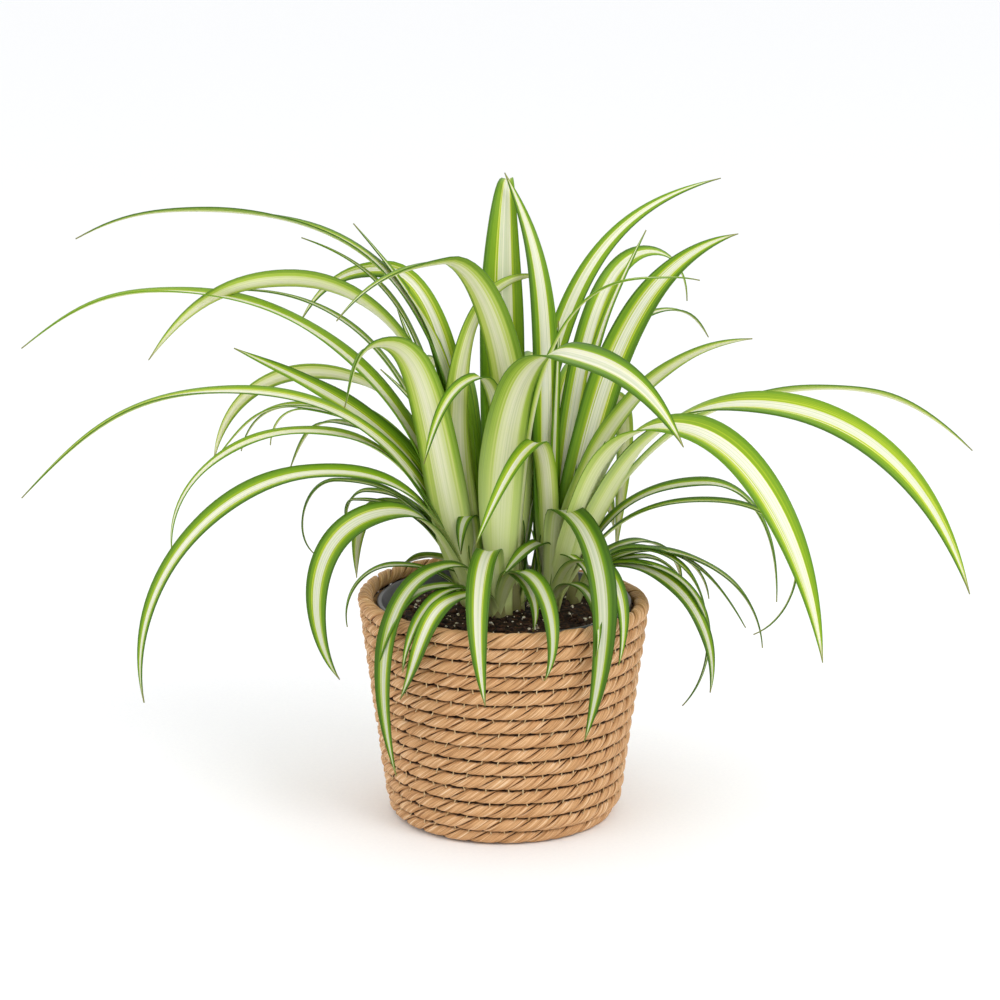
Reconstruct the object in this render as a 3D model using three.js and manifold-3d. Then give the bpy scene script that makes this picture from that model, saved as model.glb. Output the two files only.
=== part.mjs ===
// A spider plant in a plastic nursery pot, standing in a coiled rope basket.
// Millimetres, +Z up, front towards -Y. The origin is the centre of the basket's
// flat underside, and headings are degrees round from +X.

import * as THREE from 'three';
import { mergeVertices } from 'three/addons/utils/BufferGeometryUtils.js';
import Module from 'manifold-3d';

const wasm = await Module();
wasm.setup();

// Driving dimensions
const GAP = 0.3;

const BASKET_HEIGHT = 116;
const BASKET_TOP_RADIUS = 75;
const BASKET_BASE_RADIUS = 60.5;
const BASKET_FOOT_RADIUS = 55;
const BASKET_SIDES = 28;
const ROPE = 7.7;
const ROPE_ROWS = 15;
const ROPE_GROOVE = 1.3;
const ROPE_SHOULDER = 0.28;

const POT_FLOOR_RADIUS = 46;
const POT_TOP_RADIUS = 65.5;
const POT_TOP = 113.5;
const POT_WALL = 1.4;
const POT_LIP_HEIGHT = 9.5;
const POT_LIP_DEPTH = 1.2;
const POT_SIDES = 28;
const DRAIN_HOLES = 6;
const DRAIN_HOLE_RADIUS = 4;
const DRAIN_HOLE_CIRCLE = 32;
const DRAIN_HOLE_SIDES = 10;
const DRILL_PAST = 1;

const SOIL_EDGE = 107;
const SOIL_MIDDLE = 108.5;
const SOIL_SIDES = 28;

const CROWN_FOOT = 95;
const CROWN_TAPER = 0.75;
const CROWN_COLLAR = 2;
const CROWN_SIDES = 12;

const LEAF_ROOT = 105;
const LEAF_SPREAD = 3;
const LEAF_THICKNESS = 1;
const LEAF_KEEL = 14;
const LEAF_TIP_WIDTH = 1.4;
const LEAF_LEAN = 8;
const LEAF_STIFFNESS = 0.7;
const LEAF_EASE = 0.4;
const LEAF_CREST_REACH = 0.55;
const LEAF_TIP_REACH = 0.4;
const LEAF_FREE_TIP_REACH = 0.3;
const LEAF_ROOT_SHARE = 0.6;
const LEAF_CLASP_SHARE = 0.7;
const LEAF_FULL_WIDTH_AT = 0.32;
const LEAF_TAPER_FROM = 0.45;
const LEAF_TAPER_POWER = 2.3;
const LEAF_TWISTED_BY = 0.85;
const LONG_LEAF = 120;
const LONG_LEAF_PARTS = 8;
const SHORT_LEAF_PARTS = 6;
const NARROW_LEAF = 12.5;

// Crowns: where each stands in the soil, how thick its clasped leaf bases are
// and how far up they stay together.
const CROWNS = {
  left: { shoot: 'shoot_left', x: -14, y: 3, radius: 8.5, top: 134 },
  centre: { shoot: 'shoot_centre', x: 4, y: 0, radius: 8.5, top: 134 },
  front: { shoot: 'shoot_centre', x: -4, y: -13, radius: 8, top: 122 },
  right: { shoot: 'shoot_right', x: 23, y: 2, radius: 8.5, top: 132 },
  side: { shoot: 'shoot_side', x: 36, y: 16, radius: 6, top: 118 },
};

// Leaves. The crest and the tip are each a reach from the crown and a height
// above the ground. Fall is how steeply the tip points down, less than 0 where
// it still rises and over 90 where it curls back. Lean is from upright at the
// root, stiff is the share of the rise that stays straight, ease is how far it
// runs on level past its crest, turn is how far the heading drifts by the tip,
// and roll and twist turn the blade on its own line.
const LEAVES = {
  left: [
    // long arching leaves
    { heading: 175, crest: [138, 312], tip: [204, 297], fall: 28, width: 16, lean: -2,
      stiff: 0.86, roll: -40, twist: 55 },
    { heading: 180, crest: [157, 273], tip: [230, 244], fall: 38, width: 15, stiff: 0.62,
      roll: -30, twist: 30 },
    { heading: 180, crest: [94, 279], tip: [166, 238], fall: 55, width: 15, lean: 2,
      roll: -35, twist: 95 },
    { heading: 175, crest: [120, 272], tip: [126, 271], fall: 5, width: 11 },
    { heading: 190, crest: [133, 226], tip: [230, 176], fall: 45, width: 15, lean: 14,
      roll: -30, twist: 35 },
    { heading: 205, crest: [92, 188], tip: [181, 81], fall: 100, width: 14, lean: 12,
      roll: -15, twist: -5 },
    { heading: 175, tip: [124, 242], fall: -25, width: 15, roll: -30 },
    // upright leaves behind them
    { heading: 170, tip: [63, 306], fall: -50, width: 13, lean: 3 },
    { heading: 170, tip: [90, 298], fall: -18, width: 10 },
    { heading: 160, crest: [49, 281], tip: [97, 251], fall: 60, width: 14, lean: 1, roll: -50 },
    { heading: 36, tip: [41, 277], fall: 10, width: 15, lean: -14, roll: -135, twist: 60 },
    { heading: 140, tip: [54, 259], fall: -65, width: 8 },
    { heading: 190, tip: [49, 235], fall: -45, width: 10, lean: 0, stiff: 0.6, roll: -20 },
    // broad leaf folding over towards the front
    { heading: 215, crest: [59, 252], tip: [79, 223], fall: 70, width: 22, lean: 15,
      roll: 60, twist: -30 },
    // middle tier, drooping at the tips
    { heading: 160, crest: [84, 225], tip: [148, 173], fall: 80, width: 13, twist: 60 },
    { heading: 165, crest: [95, 209], tip: [143, 176], fall: 50, width: 10 },
    { heading: 155, crest: [103, 204], tip: [138, 177], fall: 75, width: 8 },
    { heading: 150, crest: [103, 201], tip: [127, 179], fall: 85, width: 8 },
    { heading: 150, crest: [85, 196], tip: [115, 167], fall: 65, width: 11 },
    { heading: 190, crest: [91, 204], tip: [156, 143], fall: 95, width: 12, lean: 16, twist: -10 },
    { heading: 155, tip: [92, 212], fall: 0, width: 7 },
    { heading: 165, tip: [81, 210], fall: 0, width: 11 },
    // low tier, arching over the rim
    { heading: 215, crest: [57, 166], tip: [84, 84], fall: 125, width: 15, ease: 0.55,
      lean: 22, twist: -45 },
    { heading: 180, crest: [72, 175], tip: [83, 136], fall: 140, width: 8, lean: 20 },
    { heading: 170, crest: [57, 167], tip: [68, 140], fall: 100, width: 9, lean: 20 },
    { heading: 180, crest: [63, 165], tip: [67, 154], fall: 100, width: 8, lean: 20 },
    { heading: 165, crest: [47, 159], tip: [65, 119], fall: 92, width: 11, lean: 18, twist: 60 },
    { heading: 185, crest: [43, 131], tip: [67, 99], fall: 100, width: 8, lean: 20 },
    { heading: 165, crest: [25, 133], tip: [40, 128], fall: 25, width: 13, roll: 30 },
    { heading: 190, crest: [17, 129], tip: [26, 126], fall: 25, width: 8 },
    // short leaf bent double
    { heading: 240, crest: [8, 158], tip: [16, 140], fall: 95, width: 11, lean: 2 },
    // back of the plant
    { heading: 105, crest: [65, 225], tip: [130, 180], fall: 60, width: 14 },
    { heading: 98, crest: [65, 215], tip: [120, 165], fall: 70, width: 13 },
    { heading: 106, crest: [58, 178], tip: [105, 140], fall: 70, width: 12, lean: 14 },
    { heading: 95, crest: [50, 160], tip: [85, 115], fall: 80, width: 10, lean: 18 },
  ],
  centre: [
    // tall leaves in the middle
    { heading: 58, tip: [125, 322], fall: -15, width: 12, lean: 9, turn: -28, roll: 35 },
    { heading: 119, crest: [50, 323], tip: [60, 312], fall: 70, width: 26, lean: 6, turn: -30 },
    { heading: 215, crest: [41, 292], tip: [104, 270], fall: 42, width: 20, lean: -8,
      roll: 75, twist: -60 },
    { heading: 225, crest: [24, 233], tip: [62, 195], fall: 68, width: 14, lean: 0 },
    // thin leaf among the tall ones
    { heading: -28, crest: [70, 282], tip: [94, 280], fall: 15, width: 8, lean: 1,
      stiff: 0.85, turn: 26 },
    // back of the plant
    { heading: 90, crest: [60, 220], tip: [120, 180], fall: 60, width: 15 },
    { heading: 80, crest: [75, 225], tip: [140, 160], fall: 75, width: 15 },
    { heading: 70, crest: [55, 200], tip: [110, 165], fall: 60, width: 14 },
    { heading: 95, crest: [60, 175], tip: [100, 130], fall: 75, width: 12, lean: 14 },
    { heading: 80, crest: [50, 160], tip: [85, 120], fall: 75, width: 10, lean: 18 },
  ],
  front: [
    { heading: -50, crest: [53, 252], tip: [137, 221], fall: 48, width: 24, lean: -4,
      stiff: 0.8, roll: -57, twist: 82 },
    // small leaves falling over the front rim
    { heading: 258, crest: [21, 147], tip: [76, 84], fall: 95, width: 13.5, turn: 8 },
    { heading: 248, crest: [46, 128], tip: [69, 79], fall: 78, width: 12, ease: 0.5,
      lean: 20, turn: -22 },
    { heading: 220, crest: [44, 130], tip: [79, 91], fall: 70, width: 10, lean: 20 },
    { heading: 215, crest: [31, 139], tip: [79, 43], fall: 95, width: 11, lean: 12,
      turn: 16, twist: -25 },
    { heading: 230, crest: [36, 129], tip: [72, 95], fall: 80, width: 8, lean: 20 },
    { heading: -60, crest: [20, 135], tip: [49, 113], fall: 100, width: 9, lean: 10, turn: -8 },
    { heading: -61, crest: [34, 138], tip: [73, 95], fall: 118, width: 11, lean: 16, turn: -10 },
  ],
  right: [
    // tall leaves at the upper right
    { heading: 121, tip: [44, 328], fall: -45, width: 16.5, lean: 2 },
    { heading: 45, crest: [70, 285], tip: [104, 255], fall: 88, width: 14, lean: 5, roll: 30 },
    { heading: 30, tip: [57, 300], fall: -60, width: 9 },
    { heading: 10, tip: [97, 300], fall: -12, width: 19, lean: 10, stiff: 0.52, roll: 60 },
    { heading: 40, crest: [78, 254], tip: [111, 236], fall: 55, width: 11 },
    { heading: 60, tip: [9, 257], fall: -88, width: 7, lean: 0, roll: 80 },
    { heading: -5, tip: [102, 251], fall: -5, width: 13, lean: 3, stiff: 0.57, roll: -50 },
    // three long leaves arching far to the right
    { heading: 15, crest: [142, 215], tip: [233, 177], fall: 42, width: 15, lean: 22,
      roll: -35, twist: 20 },
    { heading: -25, crest: [117, 225], tip: [223, 142], fall: 70, width: 20, lean: 22,
      roll: -35, twist: 78 },
    { heading: -40, crest: [84, 215], tip: [170, 112], fall: 80, width: 21, ease: 0.34,
      lean: 16, roll: -20, twist: 58 },
    // below them
    { heading: 5, crest: [79, 172], tip: [119, 108], fall: 90, width: 12, lean: 25, twist: 10 },
    { heading: -10, crest: [84, 168], tip: [106, 99], fall: 155, width: 9, ease: 0.8, lean: 25 },
    { heading: 55, crest: [47, 212], tip: [64, 122], fall: 92, width: 14, lean: 8 },
    // leaves folding over towards the front
    { heading: 258, crest: [19, 199], tip: [58, 153], fall: 80, width: 11.5, lean: -6, turn: -28 },
    { heading: -60, crest: [15, 163], tip: [75, 60], fall: 100, width: 16, turn: -17 },
    { heading: -50, crest: [38, 140], tip: [68, 95], fall: 95, width: 10, turn: -10 },
    { heading: -65, crest: [43, 129], tip: [76, 104], fall: 90, width: 7, lean: 16, turn: -8 },
    { heading: 235, crest: [8, 144], tip: [42, 134], fall: 25, width: 11, lean: 0 },
    { heading: -40, crest: [10, 138], tip: [29, 122], fall: 75, width: 7, lean: 4 },
    // back of the plant
    { heading: 75, crest: [65, 222], tip: [130, 170], fall: 65, width: 15 },
    { heading: 78, crest: [62, 188], tip: [110, 140], fall: 75, width: 14, lean: 12 },
    { heading: 66, crest: [52, 162], tip: [90, 128], fall: 70, width: 13, lean: 16 },
  ],
  side: [
    { heading: 0, crest: [33, 135], tip: [99, 82], fall: 85, width: 10, lean: 18 },
    { heading: -5, crest: [33, 136], tip: [69, 102], fall: 80, width: 10, lean: 16 },
    { heading: -25, crest: [30, 130], tip: [77, 68], fall: 98, width: 11, lean: 16, twist: 20 },
    { heading: 0, crest: [32, 136], tip: [90, 93], fall: 60, width: 7, lean: 18 },
    { heading: 5, crest: [35, 130], tip: [64, 108], fall: 50, width: 8, lean: 18 },
    { heading: -20, crest: [32, 131], tip: [60, 57], fall: 130, width: 8, ease: 0.6, lean: 16 },
    { heading: 35, crest: [38, 133], tip: [72, 104], fall: 85, width: 9, lean: 18 },
    { heading: 18, crest: [40, 131], tip: [76, 102], fall: 80, width: 9, lean: 18 },
  ],
};

const radians = THREE.MathUtils.degToRad;

function material(color, roughness) {
  return new THREE.MeshStandardMaterial({ color, roughness, metalness: 0 });
}

function named(name, geometry, meshMaterial) {
  const mesh = new THREE.Mesh(geometry, meshMaterial);
  mesh.name = name;
  return mesh;
}

// A solid for joining and cutting, from a closed geometry.
function solid(geometry) {
  const plain = geometry.clone();
  plain.deleteAttribute('normal');
  plain.deleteAttribute('uv');
  const merged = mergeVertices(plain, 1e-4);
  return new wasm.Manifold(new wasm.Mesh({
    numProp: 3,
    vertProperties: new Float32Array(merged.attributes.position.array),
    triVerts: new Uint32Array(merged.index.array),
  }));
}

function geometryOf(joined) {
  const mesh = joined.getMesh();
  const geometry = new THREE.BufferGeometry();
  geometry.setAttribute('position', new THREE.BufferAttribute(mesh.vertProperties, 3));
  geometry.setIndex(new THREE.BufferAttribute(mesh.triVerts, 1));
  geometry.computeVertexNormals();
  return geometry;
}

// A turned piece standing on +Z, from radius and height pairs that start and
// end on the axis.
function turned(profile, sides) {
  const points = profile.map(([radius, height]) => new THREE.Vector2(radius, height));
  const geometry = new THREE.LatheGeometry(points, sides);
  geometry.rotateX(Math.PI / 2);
  return geometry;
}

function upright(radius, bottom, top, x, y, sides) {
  const geometry = new THREE.CylinderGeometry(radius, radius, top - bottom, sides);
  geometry.rotateX(Math.PI / 2);
  geometry.translate(x, y, (bottom + top) / 2);
  return geometry;
}

// Basket: a flat coiled floor and a wall of rope rows, each row a bead on the
// outside.
function basketRadius(height) {
  const share = THREE.MathUtils.clamp((height - ROPE / 2) / (BASKET_HEIGHT - ROPE), 0, 1);
  return THREE.MathUtils.lerp(BASKET_BASE_RADIUS, BASKET_TOP_RADIUS, share);
}

function basketGeometry() {
  const pitch = (BASKET_HEIGHT - ROPE) / (ROPE_ROWS - 1);
  const shoulder = pitch * ROPE_SHOULDER;
  const profile = [[0, 0], [BASKET_FOOT_RADIUS, 0]];
  for (let row = 0; row < ROPE_ROWS; row += 1) {
    const middle = ROPE / 2 + row * pitch;
    if (row > 0) {
      const groove = middle - pitch / 2;
      profile.push([basketRadius(groove) - ROPE_GROOVE, groove]);
    }
    profile.push([basketRadius(middle - shoulder), middle - shoulder]);
    profile.push([basketRadius(middle + shoulder), middle + shoulder]);
  }
  const ring = BASKET_TOP_RADIUS - ROPE / 2;
  profile.push([ring + ROPE / 4, BASKET_HEIGHT]);
  profile.push([ring - ROPE / 4, BASKET_HEIGHT]);
  profile.push([BASKET_TOP_RADIUS - ROPE, BASKET_HEIGHT - ROPE / 2]);
  profile.push([basketRadius(ROPE) - ROPE, ROPE]);
  profile.push([0, ROPE]);
  return turned(profile, BASKET_SIDES);
}

// Nursery pot: a thin tapered wall with a thicker lip and drainage holes.
const POT_BOTTOM = ROPE + GAP;
const POT_FLOOR = POT_BOTTOM + POT_WALL;

function potInside(height) {
  const share = (height - POT_FLOOR) / (POT_TOP - POT_FLOOR);
  const floor = POT_FLOOR_RADIUS - POT_WALL;
  return THREE.MathUtils.lerp(floor, POT_TOP_RADIUS - POT_LIP_DEPTH - POT_WALL, share);
}

function potGeometry() {
  const lip = POT_TOP - POT_LIP_HEIGHT;
  let pot = solid(turned([
    [0, POT_BOTTOM],
    [POT_FLOOR_RADIUS - POT_WALL, POT_BOTTOM],
    [POT_FLOOR_RADIUS, POT_FLOOR],
    [potInside(lip) + POT_WALL, lip],
    [POT_TOP_RADIUS, lip + POT_LIP_DEPTH],
    [POT_TOP_RADIUS, POT_TOP],
    [potInside(POT_TOP), POT_TOP],
    [potInside(POT_FLOOR), POT_FLOOR],
    [0, POT_FLOOR],
  ], POT_SIDES));
  for (let hole = 0; hole < DRAIN_HOLES; hole += 1) {
    const angle = (2 * Math.PI * hole) / DRAIN_HOLES;
    const x = DRAIN_HOLE_CIRCLE * Math.cos(angle);
    const y = DRAIN_HOLE_CIRCLE * Math.sin(angle);
    const bottom = POT_BOTTOM - DRILL_PAST;
    const top = POT_FLOOR + DRILL_PAST;
    pot = pot.subtract(solid(upright(DRAIN_HOLE_RADIUS, bottom, top, x, y, DRAIN_HOLE_SIDES)));
  }
  return geometryOf(pot);
}

// Soil: fills the pot, slightly mounded, with a plain hole for each crown.
function soilGeometry() {
  const floor = POT_FLOOR + GAP;
  const edge = potInside(SOIL_EDGE) - 2 * GAP;
  let soil = solid(turned([
    [0, floor],
    [potInside(floor) - 2 * GAP, floor],
    [edge, SOIL_EDGE],
    [edge / 2, SOIL_MIDDLE],
    [0, SOIL_MIDDLE],
  ], SOIL_SIDES));
  for (const { x, y, radius } of Object.values(CROWNS)) {
    const hole = upright(radius + GAP, CROWN_FOOT - GAP, POT_TOP, x, y, CROWN_SIDES);
    soil = soil.subtract(solid(hole));
  }
  return geometryOf(soil);
}

// Leaf: a keeled blade along an arch that rises from the crown to its crest and
// falls to its tip. The arch is drawn as reach and height, then set on a heading.
function leafArch(leaf) {
  const { crest, tip, fall, ease = LEAF_EASE, lean = LEAF_LEAN, stiff = LEAF_STIFFNESS } = leaf;
  const root = new THREE.Vector2(LEAF_SPREAD, LEAF_ROOT);
  const end = new THREE.Vector2(...tip);
  const top = crest ? new THREE.Vector2(...crest) : end;
  const up = new THREE.Vector2(Math.sin(radians(lean)), Math.cos(radians(lean)));
  const rising = root.clone().addScaledVector(up, stiff * (top.y - root.y));
  const pointing = new THREE.Vector2(Math.cos(radians(fall)), -Math.sin(radians(fall)));
  const arch = new THREE.CurvePath();
  if (crest) {
    const drop = top.distanceTo(end);
    const level = new THREE.Vector2(LEAF_CREST_REACH * (top.x - root.x), 0);
    const over = new THREE.Vector2(top.x + ease * drop, top.y);
    const before = end.clone().addScaledVector(pointing, -LEAF_TIP_REACH * drop);
    arch.add(new THREE.CubicBezierCurve(root, rising, top.clone().sub(level), top));
    arch.add(new THREE.CubicBezierCurve(top, over, before, end));
  } else {
    const reach = LEAF_FREE_TIP_REACH * root.distanceTo(end);
    const before = end.clone().addScaledVector(pointing, -reach);
    arch.add(new THREE.CubicBezierCurve(root, rising, before, end));
  }
  return arch;
}

// It is narrower at the root, full width a third of the way along and tapers
// over its second half.
function leafWidth(width, t) {
  const taper = Math.max(0, (t - LEAF_TAPER_FROM) / (1 - LEAF_TAPER_FROM));
  const grown = THREE.MathUtils.smoothstep(t, 0, LEAF_FULL_WIDTH_AT);
  const share = THREE.MathUtils.lerp(LEAF_ROOT_SHARE, 1, grown) * (1 - taper ** LEAF_TAPER_POWER);
  const clasped = Math.min(1, LEAF_CLASP_SHARE + t);
  return Math.max(LEAF_TIP_WIDTH, width * share * clasped);
}

function leafLine(leaf, crown, parts) {
  const { heading, turn = 0 } = leaf;
  return leafArch(leaf).getSpacedPoints(parts).map((point, index) => {
    const angle = radians(heading + turn * (index / parts) ** 2);
    const x = crown.x + point.x * Math.cos(angle);
    return new THREE.Vector3(x, crown.y + point.x * Math.sin(angle), point.y);
  });
}

// The blade's section at one point of its line: six corners round a shallow V,
// or four round a flat strip on a narrow leaf.
function leafSection(leaf, line, index) {
  const { heading, turn = 0, roll = 0, twist = 0, width } = leaf;
  const last = line.length - 1;
  const t = index / last;
  const angle = radians(heading + turn * t ** 2);
  const before = line[Math.max(0, index - 1)];
  const along = line[Math.min(last, index + 1)].clone().sub(before).normalize();
  const level = new THREE.Vector3(-Math.sin(angle), Math.cos(angle), 0);
  const face = along.clone().cross(level).normalize();
  const rolled = radians(roll + twist * THREE.MathUtils.smoothstep(t, 0, LEAF_TWISTED_BY));
  const side = level.clone().applyAxisAngle(along, rolled);
  const up = face.clone().applyAxisAngle(along, rolled);
  const narrow = width < NARROW_LEAF;
  const half = LEAF_THICKNESS / 2;
  const reach = (leafWidth(width, t) / 2) * Math.cos(radians(LEAF_KEEL));
  const rise = narrow ? 0 : (leafWidth(width, t) / 2) * Math.sin(radians(LEAF_KEEL));
  const corner = (across, lift) => line[index].clone()
    .addScaledVector(side, across)
    .addScaledVector(up, lift);
  if (narrow) {
    return [corner(reach, half), corner(-reach, half), corner(-reach, -half), corner(reach, -half)];
  }
  const upper = [corner(reach, rise + half), corner(0, half), corner(-reach, rise + half)];
  const lower = [corner(-reach, rise - half), corner(0, -half), corner(reach, rise - half)];
  return [...upper, ...lower];
}

// Skin over the sections. Upper and lower faces are split along the same
// diagonal, so that the blade keeps its thickness.
function leafGeometry(leaf, crown) {
  const long = leafArch(leaf).getLength() > LONG_LEAF;
  const parts = long ? LONG_LEAF_PARTS : SHORT_LEAF_PARTS;
  const line = leafLine(leaf, crown, parts);
  const points = line.flatMap((point, index) => leafSection(leaf, line, index));
  const corners = points.length / line.length;
  const faces = [];
  for (let part = 0; part < parts; part += 1) {
    for (let side = 0; side < corners; side += 1) {
      const a = part * corners + side;
      const b = part * corners + ((side + 1) % corners);
      const lower = side >= corners / 2 && side < corners - 1;
      if (lower) {
        faces.push(a, b, a + corners, b, b + corners, a + corners);
      } else {
        faces.push(a, b, b + corners, a, b + corners, a + corners);
      }
    }
  }
  const strip = [[0, 1, 2], [0, 2, 3]];
  const keeled = [[0, 1, 5], [1, 4, 5], [1, 2, 4], [2, 3, 4]];
  const tip = parts * corners;
  for (const [a, b, c] of corners === 4 ? strip : keeled) {
    faces.push(a, c, b);
    faces.push(tip + a, tip + b, tip + c);
  }
  const geometry = new THREE.BufferGeometry().setFromPoints(points);
  geometry.setIndex(faces);
  return geometry;
}

// Shoot: clasped leaf bases standing in the soil, with the leaves fused to them.
// Pockets shut in between crossing leaves are filled.
function crownGeometry({ x, y, radius, top }) {
  const geometry = turned([
    [0, CROWN_FOOT],
    [radius, CROWN_FOOT],
    [radius, SOIL_MIDDLE + CROWN_COLLAR],
    [radius * CROWN_TAPER, top],
    [0, top],
  ], CROWN_SIDES);
  geometry.translate(x, y, 0);
  return geometry;
}

function shootGeometry(shoot) {
  const solids = [];
  for (const [name, crown] of Object.entries(CROWNS)) {
    if (crown.shoot === shoot) {
      solids.push(solid(crownGeometry(crown)));
      solids.push(...LEAVES[name].map((leaf) => solid(leafGeometry(leaf, crown))));
    }
  }
  const joined = solids.reduce((whole, piece) => whole.add(piece));
  const filled = joined.decompose().filter((body) => body.volume() > 0);
  return geometryOf(wasm.Manifold.compose(filled));
}

const rope = material(0xc29a69, 0.85);
const plastic = material(0x2e3033, 0.5);
const earth = material(0x3b291d, 0.95);
const leafGreen = material(0x76a83f, 0.45);
const leafPale = material(0x8fb552, 0.45);
const leafDark = material(0x5e8f38, 0.45);

const plant = new THREE.Group();
plant.add(named('basket', basketGeometry(), rope));
plant.add(named('nursery_pot', potGeometry(), plastic));
plant.add(named('potting_soil', soilGeometry(), earth));
plant.add(named('shoot_left', shootGeometry('shoot_left'), leafGreen.clone()));
plant.add(named('shoot_centre', shootGeometry('shoot_centre'), leafPale));
plant.add(named('shoot_right', shootGeometry('shoot_right'), leafGreen));
plant.add(named('shoot_side', shootGeometry('shoot_side'), leafDark));

export default plant;
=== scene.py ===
import math
import random

import bmesh
import bpy
from mathutils import Matrix, Vector, geometry, noise


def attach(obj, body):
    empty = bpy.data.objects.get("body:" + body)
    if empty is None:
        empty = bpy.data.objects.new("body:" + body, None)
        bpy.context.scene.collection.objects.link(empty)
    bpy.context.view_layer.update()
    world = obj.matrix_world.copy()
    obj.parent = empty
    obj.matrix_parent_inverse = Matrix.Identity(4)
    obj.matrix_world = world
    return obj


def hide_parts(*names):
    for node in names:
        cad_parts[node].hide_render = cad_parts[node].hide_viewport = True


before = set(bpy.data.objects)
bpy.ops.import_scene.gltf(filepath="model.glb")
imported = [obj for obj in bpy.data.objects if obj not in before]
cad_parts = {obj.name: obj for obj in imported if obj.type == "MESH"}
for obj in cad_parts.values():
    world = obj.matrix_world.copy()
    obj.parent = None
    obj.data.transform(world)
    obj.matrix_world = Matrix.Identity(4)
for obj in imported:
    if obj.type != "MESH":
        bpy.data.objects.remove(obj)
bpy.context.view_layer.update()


# Camera: level with a table's far edge and tilted a little down, as the photograph
# looks at the plant. It stands 1.6 m off, so the lens is a long one.
CAMERA_PLACE = (-0.0021, -1.5217, 0.5494)
CAMERA_TILT = 14.15
CAMERA_LENS = 110.6

camera_data = bpy.data.cameras.new("camera")
camera_data.sensor_width = 36
camera_data.lens = CAMERA_LENS
camera_data.clip_end = 20
camera = bpy.data.objects.new("camera", camera_data)
camera.location = CAMERA_PLACE
camera.rotation_euler = (math.radians(90 - CAMERA_TILT), 0, 0)
bpy.context.collection.objects.link(camera)
bpy.context.scene.camera = camera


# Rope basket: a rope of two straw strands, coiled from the middle of a flat floor round a
# soft corner and up into fifteen rows of wall. The coil rises clockwise, so its rows fall
# a little to the right at the front, and it tapers off at the back of the rim.
MM = 0.001
BASKET_HEIGHT = 116
BASKET_TOP_RADIUS = 75
BASKET_BASE_RADIUS = 60.5
ROPE = 7.7
ROPE_ROWS = 15
ROPE_LAY = 28
ROPE_STEP = 1.0
CORNER_RADIUS = 5
FIRST_TURN = -6.5
LAST_TURN = 14.5
TUCKED_TURNS = 0.2
TAPERED_TURNS = 0.14
THINNEST_END = 0.04
TIGHTEST_COIL = 2.0
ROW_SWAY = 0.35
ROW_SWAYS = 7
ROW_LIFT = 0.3
ROW_LIFTS = 9
STRAND_OFFSET = 1.2
STRAND_OUTER_DEPTH = 2.7
STRAND_INNER_DEPTH = 1.14
STRAND_INNER_FLATNESS = 0.5
STRAND_HALF_WIDTH = 3.5
STRAND_SIDES = 16
STRAND_SWELLING = 0.07
SWELLING_LENGTH = 17
RIDGE_DEPTH = 0.06
RIDGE_LENGTH = 30
RIDGES_ROUND = 2.4
RIDGES_APART = 9
WELD_DISTANCE = 0.00001

FLARE = (BASKET_TOP_RADIUS - BASKET_BASE_RADIUS) / (BASKET_HEIGHT - ROPE)
WALL_SLOPE = math.atan(FLARE)
ROW_PITCH = (BASKET_HEIGHT - ROPE) / (ROPE_ROWS - 1) / math.cos(WALL_SLOPE)
CORNER_TURN = math.pi / 2 - WALL_SLOPE
CORNER_CUT = CORNER_RADIUS * math.tan(CORNER_TURN / 2)
FLOOR_LENGTH = BASKET_BASE_RADIUS - ROPE / 2 - CORNER_CUT
WALL_LENGTH = ROW_PITCH * (ROPE_ROWS - 1) - CORNER_CUT


def coil_profile(length):
    """Radius and height of the rope's middle, so far from the middle of the floor."""
    if length < FLOOR_LENGTH:
        return length, ROPE / 2
    bend = (length - FLOOR_LENGTH) / CORNER_RADIUS
    if bend < CORNER_TURN:
        across = FLOOR_LENGTH + CORNER_RADIUS * math.sin(bend)
        return across, ROPE / 2 + CORNER_RADIUS * (1 - math.cos(bend))
    up = CORNER_CUT + length - FLOOR_LENGTH - CORNER_RADIUS * CORNER_TURN
    foot = BASKET_BASE_RADIUS - ROPE / 2
    return foot + up * math.sin(WALL_SLOPE), ROPE / 2 + up * math.cos(WALL_SLOPE)


def coil_length(turn):
    """How far from the middle of the floor the rope lies after so many turns."""
    whole = FLOOR_LENGTH + CORNER_RADIUS * CORNER_TURN + WALL_LENGTH
    return whole - ROW_PITCH * (ROPE_ROWS - 1 - turn)


def coil_point(turn):
    """The rope's middle after so many turns: the lowest row passes the front at 0."""
    radius, height = coil_profile(coil_length(turn))
    angle = -math.pi / 2 - 2 * math.pi * turn
    radius += ROW_SWAY * noise.noise(Vector((turn * ROW_SWAYS, 3.1, 0)))
    height += ROW_LIFT * noise.noise(Vector((turn * ROW_LIFTS, 8.7, 0)))
    return Vector((radius * math.cos(angle), radius * math.sin(angle), height))


def coil_neighbours(turn):
    """The ways in which the rows before and after this one lie."""
    beside = [other for other in (turn - 1, turn + 1) if FIRST_TURN < other < LAST_TURN]
    return [(coil_point(other) - coil_point(turn)).normalized() for other in beside]


def coil_thickness(turn):
    """Full thickness except at the tucked-in start and the tapered end."""
    start = min(1.0, (turn - FIRST_TURN) / TUCKED_TURNS)
    end = min(1.0, (LAST_TURN - turn) / TAPERED_TURNS)
    return max(THINNEST_END, min(start, end)) ** 0.5


def rope_stops(first, last):
    """Turns at even steps along the rope, each with its length from the first turn."""
    stops = [(first, 0.0)]
    while stops[-1][0] < last:
        turn, length = stops[-1]
        around = max(coil_point(turn).to_2d().length, TIGHTEST_COIL)
        stops.append((min(last, turn + ROPE_STEP / (2 * math.pi * around)), length + ROPE_STEP))
    return stops


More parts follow.
